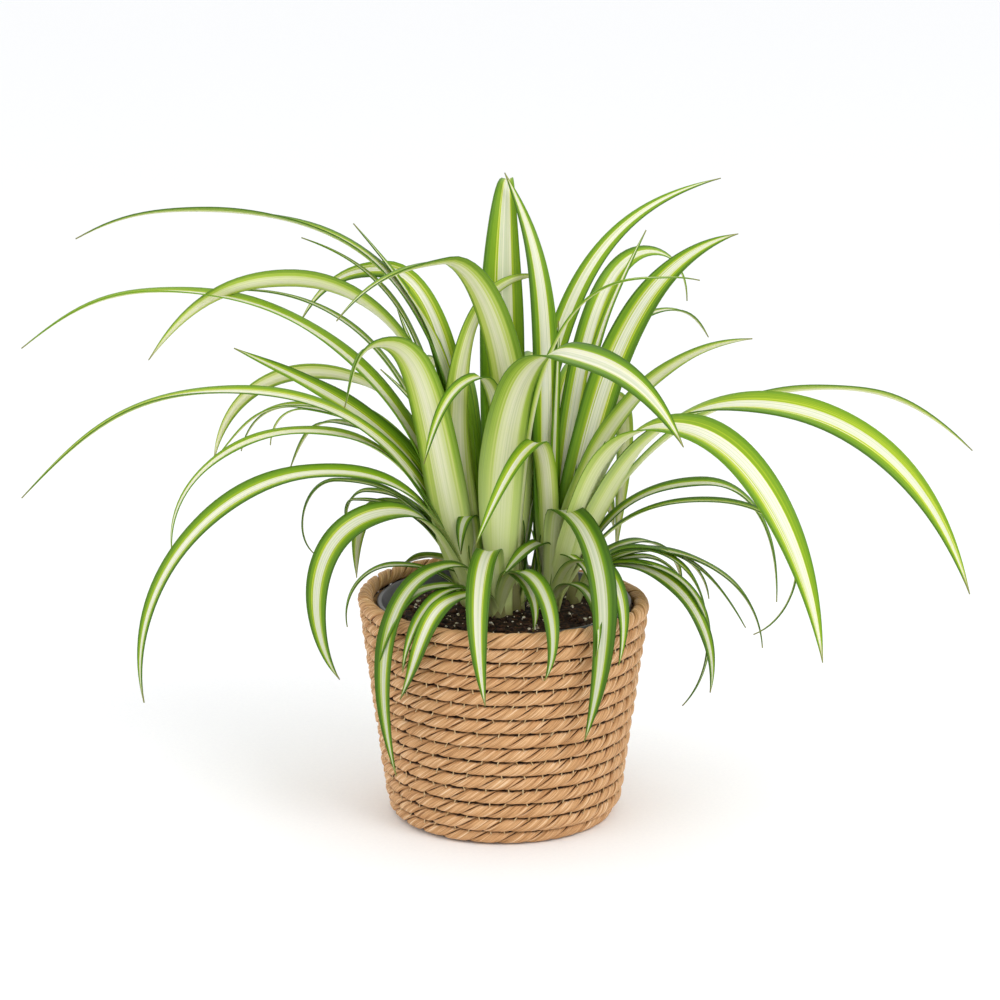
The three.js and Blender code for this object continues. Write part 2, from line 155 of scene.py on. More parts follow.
def finished(name, bm, materials, node):
    """Turns a bmesh into a smooth-shaded piece that stands for a CAD node."""
    for face in bm.faces:
        face.smooth = True
    mesh = bpy.data.meshes.new(name)
    bm.to_mesh(mesh)
    bm.free()
    for material in materials:
        mesh.materials.append(material)
    piece = bpy.data.objects.new(name, mesh)
    bpy.context.collection.objects.link(piece)
    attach(piece, "root")
    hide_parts(node)
    return piece


def grid_strip(bm, along, across):
    """A grid with its UV map, and its corners by row and column, to be put in place."""
    if not bm.loops.layers.uv.get("UVMap"):
        bm.loops.layers.uv.new("UVMap")
    made = bmesh.ops.create_grid(
        bm, x_segments=along, y_segments=across, size=0.5, calc_uvs=True)
    cells = {}
    for vert in made["verts"]:
        key = (round((vert.co.x + 0.5) * along), round((vert.co.y + 0.5) * across))
        cells[key] = vert
    return cells


def add_strand(bm, stops, start_length, strand):
    """One of the rope's two strands: D-shaped in section, with its flat side on the other
    strand, and ridged lengthwise by the straws that it is made of. Each corner keeps how
    far it lies towards the next row, which is 1 down between two rows."""
    aside = bm.verts.layers.float.get("aside") or bm.verts.layers.float.new("aside")
    cells = grid_strip(bm, len(stops) - 1, STRAND_SIDES)
    uv = bm.loops.layers.uv["UVMap"]
    places = {}
    for station, (turn, length) in enumerate(stops):
        middle = coil_point(turn)
        neighbours = coil_neighbours(turn)
        out = Vector((middle.x, middle.y, 0)).normalized()
        up = Vector((0, 0, 1))
        twist = -2 * math.pi * (start_length + length) / ROPE_LAY + math.pi * strand
        away = math.cos(twist) * out + math.sin(twist) * up
        beside = math.cos(twist) * up - math.sin(twist) * out
        swelling = noise.noise(Vector((length / SWELLING_LENGTH, strand, turn)))
        size = coil_thickness(turn) * (1 + STRAND_SWELLING * swelling)
        for side in range(STRAND_SIDES + 1):
            angle = 2 * math.pi * side / STRAND_SIDES
            depth = STRAND_OUTER_DEPTH * math.cos(angle)
            if depth < 0:
                depth = -STRAND_INNER_DEPTH * abs(math.cos(angle)) ** STRAND_INNER_FLATNESS
            straw = Vector((
                RIDGES_ROUND * math.cos(angle), RIDGES_ROUND * math.sin(angle),
                length / RIDGE_LENGTH + RIDGES_APART * strand))
            ridge = 1 + RIDGE_DEPTH * noise.noise(straw)
            offset = size * (
                away * (STRAND_OFFSET + ridge * depth)
                + beside * ridge * STRAND_HALF_WIDTH * math.sin(angle))
            vert = cells[station, side]
            vert.co = (middle + offset) * MM
            vert[aside] = max(offset.dot(way) for way in neighbours) / (ROPE / 2)
            places[vert] = (start_length + length, side / STRAND_SIDES + 2 * strand)
    for vert in cells.values():
        for loop in vert.link_loops:
            length, around = places[vert]
            loop[uv].uv = (length * MM, around)


def rope_mesh(first, last):
    """Both strands of the rope from one turn to another, closed at their ends."""
    stops = rope_stops(first, last)
    start_length = rope_stops(FIRST_TURN, first)[-1][1] if first > FIRST_TURN else 0.0
    bm = bmesh.new()
    for strand in (0, 1):
        add_strand(bm, stops, start_length, strand)
    bmesh.ops.remove_doubles(bm, verts=bm.verts, dist=WELD_DISTANCE)
    caps = bmesh.ops.holes_fill(bm, edges=bm.edges, sides=STRAND_SIDES)
    bmesh.ops.recalc_face_normals(bm, faces=bm.faces)
    for cap in caps["faces"]:
        for edge in cap.edges:
            edge.smooth = False
    return bm


def srgb(code):
    """A hex colour as the linear values that the shaders take."""
    values = [int(code[i:i + 2], 16) / 255 for i in (0, 2, 4)]
    linear = [v / 12.92 if v <= 0.04045 else ((v + 0.055) / 1.055) ** 2.4 for v in values]
    return (*linear, 1.0)


def add_node(material, kind, links={}, values={}, stops=(), **settings):
    """Adds a node with its settings, its inputs' values and links, and colour stops."""
    node = material.node_tree.nodes.new(kind)
    for key, value in settings.items():
        setattr(node, key, value)
    for socket, value in values.items():
        node.inputs[socket].default_value = value
    for socket, source in links.items():
        material.node_tree.links.new(source, node.inputs[socket])
    for index, (position, code) in enumerate(stops):
        colours = node.color_ramp.elements
        colour = colours[index] if index < 2 else colours.new(position)
        colour.position = position
        colour.color = srgb(code)
    return node


def blank_material(name, **surface_values):
    """A new material and its surface, with the surface's own values set."""
    material = bpy.data.materials.new(name)
    material.use_nodes = True
    surface = material.node_tree.nodes["Principled BSDF"]
    for socket, value in surface_values.items():
        surface.inputs[socket.replace("_", " ")].default_value = value
    return material, surface


def dry_seagrass():
    """Dried seagrass: flat satin straws, with fine fibres that run along the strand. Painted
    shade makes it brown where the strands meet and nearly black down between the rows."""
    girth = 18
    fibre_length = 12
    fibre_width = 0.35
    straw_length = 20
    straw_width = 1.4
    material, surface = blank_material("twisted_seagrass", Roughness=0.6, Specular_IOR_Level=0.35)
    place = add_node(material, "ShaderNodeUVMap", uv_map="UVMap")
    fine = add_node(material, "ShaderNodeMapping", {"Vector": place.outputs["UV"]},
                    {"Scale": (1 / (fibre_length * MM), girth / fibre_width, 1)})
    fibres = add_node(material, "ShaderNodeTexNoise", {"Vector": fine.outputs["Vector"]},
                      {"Scale": 1.0, "Detail": 4.0, "Roughness": 0.7})
    wide = add_node(material, "ShaderNodeMapping", {"Vector": place.outputs["UV"]},
                    {"Scale": (1 / (straw_length * MM), girth / straw_width, 1)})
    straws = add_node(material, "ShaderNodeTexNoise", {"Vector": wide.outputs["Vector"]},
                      {"Scale": 1.0, "Detail": 2.0})
    tone = add_node(material, "ShaderNodeMath", {0: straws.outputs["Fac"], 2: fibres.outputs["Fac"]},
                    {1: 0.8}, operation="MULTIPLY_ADD")
    straw = add_node(material, "ShaderNodeMapRange", {"Value": tone.outputs[0]},
                     {"From Min": 0.68, "From Max": 1.12})
    dry = add_node(material, "ShaderNodeValToRGB", {"Fac": straw.outputs[0]}, stops=[
        (0.0, "8f5f36"), (0.3, "bd8c5a"), (0.65, "d6a674"), (1.0, "efd0aa")])
    # Painted shade: towards the flat side, where one strand meets the other, the straw colour turns
    # brown, with a ragged edge from the fibres.
    parts = add_node(material, "ShaderNodeSeparateXYZ", {0: place.outputs["UV"]})
    around = add_node(material, "ShaderNodeMath", {0: parts.outputs["Y"]}, {1: 2 * math.pi},
                      operation="MULTIPLY")
    outer = add_node(material, "ShaderNodeMath", {0: around.outputs[0]}, operation="COSINE")
    ragged_crease_reach = add_node(material, "ShaderNodeMath", {0: fibres.outputs["Fac"], 2: outer.outputs[0]},
                      {1: 0.3}, operation="MULTIPLY_ADD")
    painted_crease_shade = add_node(material, "ShaderNodeMapRange", {"Value": ragged_crease_reach.outputs[0]},
                      {"From Min": -0.62, "From Max": -0.38})
    crease_shaded = add_node(material, "ShaderNodeMix", {0: painted_crease_shade.outputs[0], 7: dry.outputs["Color"]},
                     {6: srgb("784e29")}, data_type="RGBA")
    # Painted shade: near where the rope touches the next row, the colour goes nearly black, with an
    # uneven edge from the straws.
    aside = add_node(material, "ShaderNodeAttribute", attribute_name="aside")
    ragged_groove_reach = add_node(material, "ShaderNodeMath", {0: straws.outputs["Fac"], 2: aside.outputs["Fac"]},
                      {1: 0.4}, operation="MULTIPLY_ADD")
    painted_groove_shade = add_node(material, "ShaderNodeMapRange", {"Value": ragged_groove_reach.outputs[0]},
                      {"From Min": 1.03, "From Max": 1.15})
    colour = add_node(material, "ShaderNodeMix", {0: painted_groove_shade.outputs[0], 6: crease_shaded.outputs[2]},
                      {7: srgb("2f1b0e")}, data_type="RGBA")
    ridge = add_node(material, "ShaderNodeBump", {"Height": tone.outputs[0]},
                     {"Strength": 0.7, "Distance": 0.0005})
    material.node_tree.links.new(colour.outputs[2], surface.inputs["Base Color"])
    material.node_tree.links.new(ridge.outputs["Normal"], surface.inputs["Normal"])
    return material


seagrass = dry_seagrass()
for part, (first, last) in {
    "basket_floor": (FIRST_TURN, -0.5),
    "basket_rows_lower": (-0.5, 4.5),
    "basket_rows_middle": (4.5, 9.5),
    "basket_rows_upper": (9.5, LAST_TURN),
}.items():
    finished(part, rope_mesh(first, last), [seagrass], "basket")


# Stitching: a thin pale thread sews each row to the one below, and shows as short slanting
# stitches down in the grooves, about 9 mm apart.
STITCH_THREAD = 0.6
STITCH_LENGTH = 3.2
STITCH_SPACING = 9
STITCH_LEAN = (-0.5, 0.9)
STITCH_REACH = (0.62, 0.78)
STITCH_STRETCH = (0.7, 1.25)
STITCH_UNEVENNESS = (0.7, 1.3)
FIRST_STITCH = 1.0
LAST_STITCH = 14.3


def pale_thread():
    """Undyed jute thread, matte and slightly yellow, in spots 1 mm across."""
    material, surface = blank_material("undyed_jute_thread", Roughness=0.8)
    place = add_node(material, "ShaderNodeTexCoord")
    grain = add_node(material, "ShaderNodeTexNoise", {"Vector": place.outputs["Object"]},
                     {"Scale": 900.0})
    colour = add_node(material, "ShaderNodeValToRGB", {"Fac": grain.outputs["Fac"]}, stops=[
        (0.35, "b8935f"), (0.65, "e0c89c")])
    material.node_tree.links.new(colour.outputs["Color"], surface.inputs["Base Color"])
    return material


def stitches():
    """Short straight threads that lie across the grooves, one after another."""
    chance = random.Random(4)
    bm = bmesh.new()
    turn = FIRST_STITCH
    while turn < LAST_STITCH:
        middle = (coil_point(turn) + coil_point(turn - 1)) / 2
        out = Vector((middle.x, middle.y, 0)).normalized()
        round_it = Vector((-out.y, out.x, 0))
        lean = chance.uniform(*STITCH_LEAN)
        line = (Vector((0, 0, 1)) + lean * round_it).normalized()
        reach = ROPE / 2 * chance.uniform(*STITCH_REACH)
        middle += out * reach
        turned = line.to_track_quat("Z", "Y").to_matrix().to_4x4()
        stretch = STITCH_LENGTH * chance.uniform(*STITCH_STRETCH)
        bmesh.ops.create_cone(
            bm, cap_ends=True, segments=5, radius1=STITCH_THREAD / 2 * MM,
            radius2=STITCH_THREAD / 2 * MM, depth=stretch * MM,
            matrix=Matrix.Translation(middle * MM) @ turned)
        around = middle.to_2d().length
        turn += STITCH_SPACING * chance.uniform(*STITCH_UNEVENNESS) / (2 * math.pi * around)
    return bm


finished("basket_stitches", stitches(), [pale_thread()], "basket")


# Nursery pot: thin dark grey polypropylene, moulded with a deep lip and drainage holes in
# its floor. It stands loose inside the basket, and only its lip shows.
POT_FLOOR_RADIUS = 46
POT_TOP_RADIUS = 65.5
POT_TOP = 113.5
POT_WALL = 1.4
POT_LIP_HEIGHT = 9.5
POT_LIP_DEPTH = 1.2
POT_LIP_SLOPE = 0.3
POT_EDGE = 0.5
POT_RIM_EDGE = 0.6
POT_PLAY = 0.3
POT_BOTTOM = ROPE + POT_PLAY
POT_FLOOR = POT_BOTTOM + POT_WALL
POT_LIP_FOOT = POT_TOP - POT_LIP_HEIGHT
POT_STEPS = 120
DRAIN_HOLES = 6
DRAIN_HOLE_RADIUS = 4
DRAIN_HOLE_CIRCLE = 32
DRAIN_CUT = 6


def pot_inside(height):
    """Radius of the pot's inner wall at this height."""
    share = (height - POT_FLOOR) / (POT_TOP - POT_FLOOR)
    floor = POT_FLOOR_RADIUS - POT_WALL
    return floor + (POT_TOP_RADIUS - POT_LIP_DEPTH - POT_WALL - floor) * share


def spun(profile, steps):
    """A round piece turned from radius and height pairs that start and end on the axis."""
    bm = bmesh.new()
    verts = [bm.verts.new((radius * MM, 0, height * MM)) for radius, height in profile]
    edges = [bm.edges.new(pair) for pair in zip(verts, verts[1:])]
    bmesh.ops.spin(
        bm, geom=verts + edges, cent=(0, 0, 0), axis=(0, 0, 1), angle=2 * math.pi,
        steps=steps, use_merge=True)
    bmesh.ops.remove_doubles(bm, verts=bm.verts, dist=WELD_DISTANCE)
    bmesh.ops.recalc_face_normals(bm, faces=bm.faces)
    return bm


def moulded_pot_plastic():
    """Recycled polypropylene, injection moulded: satin, with an even mould grain 0.7 mm
    across and faint dusty patches 17 mm across."""
    material, surface = blank_material("moulded_polypropylene", Roughness=0.38)
    place = add_node(material, "ShaderNodeTexCoord")
    grain = add_node(material, "ShaderNodeTexNoise", {"Vector": place.outputs["Object"]},
                     {"Scale": 1400.0, "Detail": 2.0})
    bump = add_node(material, "ShaderNodeBump", {"Height": grain.outputs["Fac"]},
                    {"Strength": 0.2, "Distance": 0.0002})
    dust = add_node(material, "ShaderNodeTexNoise", {"Vector": place.outputs["Object"]},
                    {"Scale": 60.0, "Detail": 4.0})
    colour = add_node(material, "ShaderNodeValToRGB", {"Fac": dust.outputs["Fac"]}, stops=[
        (0.35, "34353a"), (0.7, "4b4c52")])
    material.node_tree.links.new(colour.outputs["Color"], surface.inputs["Base Color"])
    material.node_tree.links.new(bump.outputs["Normal"], surface.inputs["Normal"])
    return material


def drain_cutter():
    """A ring of pegs where the drainage holes go."""
    bm = bmesh.new()
    for hole in range(DRAIN_HOLES):
        angle = 2 * math.pi * hole / DRAIN_HOLES
        place = Vector((math.cos(angle), math.sin(angle), 0)) * DRAIN_HOLE_CIRCLE
        place.z = (POT_BOTTOM + POT_FLOOR) / 2
        bmesh.ops.create_cone(
            bm, cap_ends=True, segments=24, radius1=DRAIN_HOLE_RADIUS * MM,
            radius2=DRAIN_HOLE_RADIUS * MM, depth=DRAIN_CUT * MM,
            matrix=Matrix.Translation(place * MM))
    mesh = bpy.data.meshes.new("drain_cutter")
    bm.to_mesh(mesh)
    bm.free()
    return bpy.data.objects.new("drain_cutter", mesh)


pot = finished("nursery_pot_body", spun([
    (0, POT_BOTTOM),
    (POT_FLOOR_RADIUS - POT_WALL, POT_BOTTOM),
    (POT_FLOOR_RADIUS, POT_FLOOR),
    (pot_inside(POT_LIP_FOOT) + POT_WALL, POT_LIP_FOOT),
    (POT_TOP_RADIUS - POT_LIP_SLOPE, POT_LIP_FOOT + POT_LIP_DEPTH),
    (POT_TOP_RADIUS, POT_LIP_FOOT + POT_LIP_DEPTH + POT_EDGE),
    (POT_TOP_RADIUS, POT_TOP - POT_RIM_EDGE),
    (POT_TOP_RADIUS - POT_EDGE, POT_TOP),
    (pot_inside(POT_TOP) + POT_EDGE, POT_TOP),
    (pot_inside(POT_TOP), POT_TOP - POT_EDGE),
    (pot_inside(POT_FLOOR), POT_FLOOR),
    (0, POT_FLOOR),
], POT_STEPS), [moulded_pot_plastic()], "nursery_pot")
cutter = drain_cutter()
bpy.context.collection.objects.link(cutter)
drill = pot.modifiers.new("drain_holes", "BOOLEAN")
drill.operation = "DIFFERENCE"
drill.solver = "EXACT"
drill.object = cutter
bpy.context.view_layer.update()
depsgraph = bpy.context.evaluated_depsgraph_get()
drilled = bpy.data.meshes.new_from_object(pot.evaluated_get(depsgraph))
pot.modifiers.remove(drill)
pot.data = drilled
bpy.data.objects.remove(cutter)


# Potting soil: dark crumbly peat and bark that fills the pot to just under its lip, with
# white crumbs of perlite lying on it and in it.
SOIL_EDGE = 107
SOIL_MIDDLE = 108.5
SOIL_UNEVENNESS = 1.0
SOIL_UNEVEN_OVER = 6
SOIL_CRUMBLE = 0.5
SOIL_CRUMB = 1.8
SOIL_OFF_FLOOR = 0.3
SOIL_OFF_WALL = 0.4
SOIL_FOOT_EDGE = 0.6
SOIL_SHOULDER = 3
SOIL_RINGS = 60
SOIL_STEPS = 180
PERLITE = dict(count=260, smallest=0.8, largest=3.2, flatness=0.75, seed=11)
BARK = dict(count=420, smallest=1.2, largest=5.5, flatness=0.45, seed=23)
CRUMB_MARGIN = 4
CRUMB_RARITY = 2.5
CRUMB_TUMBLE = (0, 6.28)
CRUMB_SQUASH = (0.6, 1)
CRUMB_LIFT = 0.12
CRUMB_DENTS = 0.1


def soil_height(x, y):
    """The soil's top: a low mound with crumbs 1 to 6 mm across."""
    share = min(1.0, math.hypot(x, y) / pot_inside(SOIL_EDGE))
    mound = SOIL_MIDDLE + (SOIL_EDGE - SOIL_MIDDLE) * share ** 2
    coarse = noise.noise(Vector((x / SOIL_UNEVEN_OVER, y / SOIL_UNEVEN_OVER, 1.5)))
    fine = noise.noise(Vector((x / SOIL_CRUMB, y / SOIL_CRUMB, 7.5)))
    return mound - SOIL_CRUMBLE + SOIL_UNEVENNESS * coarse + SOIL_CRUMBLE * fine


def soil_body():
    """The soil as one body that fills the pot, with rings close enough for its crumbs."""
    floor = POT_FLOOR + SOIL_OFF_FLOOR
    edge = pot_inside(SOIL_EDGE) - SOIL_OFF_WALL
    rings = [(0, floor), (pot_inside(floor) - SOIL_FOOT_EDGE, floor),
             (edge, SOIL_EDGE - SOIL_SHOULDER)]
    rings += [(edge * ring / SOIL_RINGS, SOIL_MIDDLE) for ring in range(SOIL_RINGS, -1, -1)]
    bm = spun(rings, SOIL_STEPS)
    for vert in bm.verts:
        x, y, z = vert.co / MM
        if z > SOIL_EDGE:
            vert.co.z = soil_height(x, y) * MM
    return bm


def damp_potting_soil():
    """Damp peat: nearly black in its pores and brown on its crumbs, which are 2.4 mm
    across, with no gloss."""
    material, surface = blank_material("damp_potting_soil", Roughness=0.9, Specular_IOR_Level=0.25)
    place = add_node(material, "ShaderNodeTexCoord")
    grain = add_node(material, "ShaderNodeTexNoise", {"Vector": place.outputs["Object"]},
                     {"Scale": 420.0, "Detail": 6.0})
    colour = add_node(material, "ShaderNodeValToRGB", {"Fac": grain.outputs["Fac"]}, stops=[
        (0.36, "120c08"), (0.5, "2b1b12"), (0.62, "4a3020"), (0.74, "6b4a30")])
    bump = add_node(material, "ShaderNodeBump", {"Height": grain.outputs["Fac"]},
                    {"Strength": 0.8, "Distance": 0.001})
    material.node_tree.links.new(colour.outputs["Color"], surface.inputs["Base Color"])
    material.node_tree.links.new(bump.outputs["Normal"], surface.inputs["Normal"])
    return material


def expanded_perlite():
    """Perlite: white puffed volcanic glass, chalky, with soil in pores 1.4 mm apart."""
    material, surface = blank_material("expanded_perlite", Roughness=0.85)
    place = add_node(material, "ShaderNodeTexCoord")
    pores = add_node(material, "ShaderNodeTexNoise", {"Vector": place.outputs["Object"]},
                     {"Scale": 700.0, "Detail": 3.0})
    colour = add_node(material, "ShaderNodeValToRGB", {"Fac": pores.outputs["Fac"]}, stops=[
        (0.35, "a08560"), (0.5, "e2d8c0"), (0.7, "fbf8ee")])
    material.node_tree.links.new(colour.outputs["Color"], surface.inputs["Base Color"])
    return material


def pine_bark():
    """Composted bark: matte reddish brown chips with fibres 3 mm long."""
    material, surface = blank_material("composted_bark", Roughness=0.85)
    place = add_node(material, "ShaderNodeTexCoord")
    fibre = add_node(material, "ShaderNodeTexNoise", {"Vector": place.outputs["Object"]},
                     {"Scale": 300.0, "Detail": 4.0})
    colour = add_node(material, "ShaderNodeValToRGB", {"Fac": fibre.outputs["Fac"]}, stops=[
        (0.35, "1d120c"), (0.6, "4b2f1e"), (0.75, "7a5233")])
    material.node_tree.links.new(colour.outputs["Color"], surface.inputs["Base Color"])
    return material


def crumbs(count, smallest, largest, flatness, seed):
    """Crumbs half sunk in the soil, each an uneven pebble of twenty faces."""
    chance = random.Random(seed)
    bm = bmesh.new()
    for _ in range(count):
        reach = (pot_inside(SOIL_EDGE) - CRUMB_MARGIN) * math.sqrt(chance.random())
        angle = chance.uniform(0, 2 * math.pi)
        x = reach * math.cos(angle)
        y = reach * math.sin(angle)
        size = smallest + (largest - smallest) * chance.random() ** CRUMB_RARITY
        turned = Matrix.Rotation(
            chance.uniform(*CRUMB_TUMBLE), 4, Vector((chance.random(), chance.random(), 1)))
        squash = Matrix.Diagonal((1, chance.uniform(*CRUMB_SQUASH), flatness, 1))
        place = Matrix.Translation(Vector((x, y, soil_height(x, y) + CRUMB_LIFT * size)) * MM)
        made = bmesh.ops.create_icosphere(
            bm, subdivisions=1, radius=size / 2 * MM, matrix=place @ turned @ squash)
        for vert in made["verts"]:
            dent = [chance.uniform(-CRUMB_DENTS, CRUMB_DENTS) * size * MM for _ in range(3)]
            vert.co += Vector(dent)
    return bm


finished("soil_body", soil_body(), [damp_potting_soil()], "potting_soil")
finished("soil_perlite", crumbs(**PERLITE), [expanded_perlite()], "potting_soil")
finished("soil_bark", crumbs(**BARK), [pine_bark()], "potting_soil")


# Leaves: long soft blades folded to a shallow V along the middle, cream down the middle
# and green at the margins, paler underneath. Each grows from a crown of clasping pale
# bases, arches up and out to its crest and falls to its tip.
LEAF_ROOT = 105
LEAF_SPREAD = 3
LEAF_THICKNESS = 0.6
LEAF_KEEL = 18
LEAF_LEAN = 8
LEAF_STIFFNESS = 0.7
LEAF_EASE = 0.4
LEAF_CREST_REACH = 0.55
LEAF_TIP_REACH = 0.4
LEAF_FREE_TIP_REACH = 0.3
LEAF_ROOT_SHARE = 0.6
LEAF_FULL_WIDTH_AT = 0.32
LEAF_CLASP = 0.25
LEAF_CLASP_UNTIL = 0.12
LEAF_TAPER_FROM = 0.45
LEAF_TAPER_POWER = 2.3
LEAF_TIP_WIDTH = 0.35
LEAF_TWISTED_BY = 0.85
LEAF_BASE_KEEL = 40
LEAF_OPENED_BY = 0.22
LEAF_FOLD_ROUNDING = 0.02
LEAF_RIPPLE = 0.05
LEAF_RIPPLES = (2.5, 5)
LEAF_RIPPLE_START = (0, 6.28)
ARCH_STEPS = 100
FREE_ARCH_STEPS = 160
LEAF_STATIONS = 64
LEAF_CELLS = 10
CORE_HEIGHT = 32
CORE_FOOT = 95
CORE_FOOT_SHARE = 0.8
CORE_TOP_SHARE = 0.35
LOW_LEAF_TOP = 185
# Stripe crispness for low and tall leaves; above 1.1 it also darkens a leaf as painted shade.
LOW_LEAF_STRIPE_AND_SHADE = (1.2, 1.6)
TALL_LEAF_STRIPE_AND_SHADE = (0.8, 1.25)

CROWNS = {
    "left": ("shoot_left", -14, 3, 8.5),
    "centre": ("shoot_centre", 4, 0, 8.5),
    "front": ("shoot_centre", -4, -13, 8),
    "right": ("shoot_right", 23, 2, 8.5),
    "side": ("shoot_side", 36, 16, 6),
}


def leaf(heading, tip, fall, width, crest=None, ease=LEAF_EASE, lean=LEAF_LEAN,
         stiff=LEAF_STIFFNESS, turn=0, roll=0, twist=0):
    """One leaf. The crest and the tip are each a reach from the crown and a height above
    the ground, in mm. Fall is how steeply the tip points down, lean is from upright at
    the root, turn is how far the heading drifts by the tip, and roll and twist turn the
    blade about its own line, all in degrees. Ease is how far it runs on level past its
    crest, and stiff how far it rises straight."""
    return dict(
        heading=heading, tip=tip, fall=fall, width=width, crest=crest, ease=ease,
        lean=lean, stiff=stiff, turn=turn, roll=roll, twist=twist)


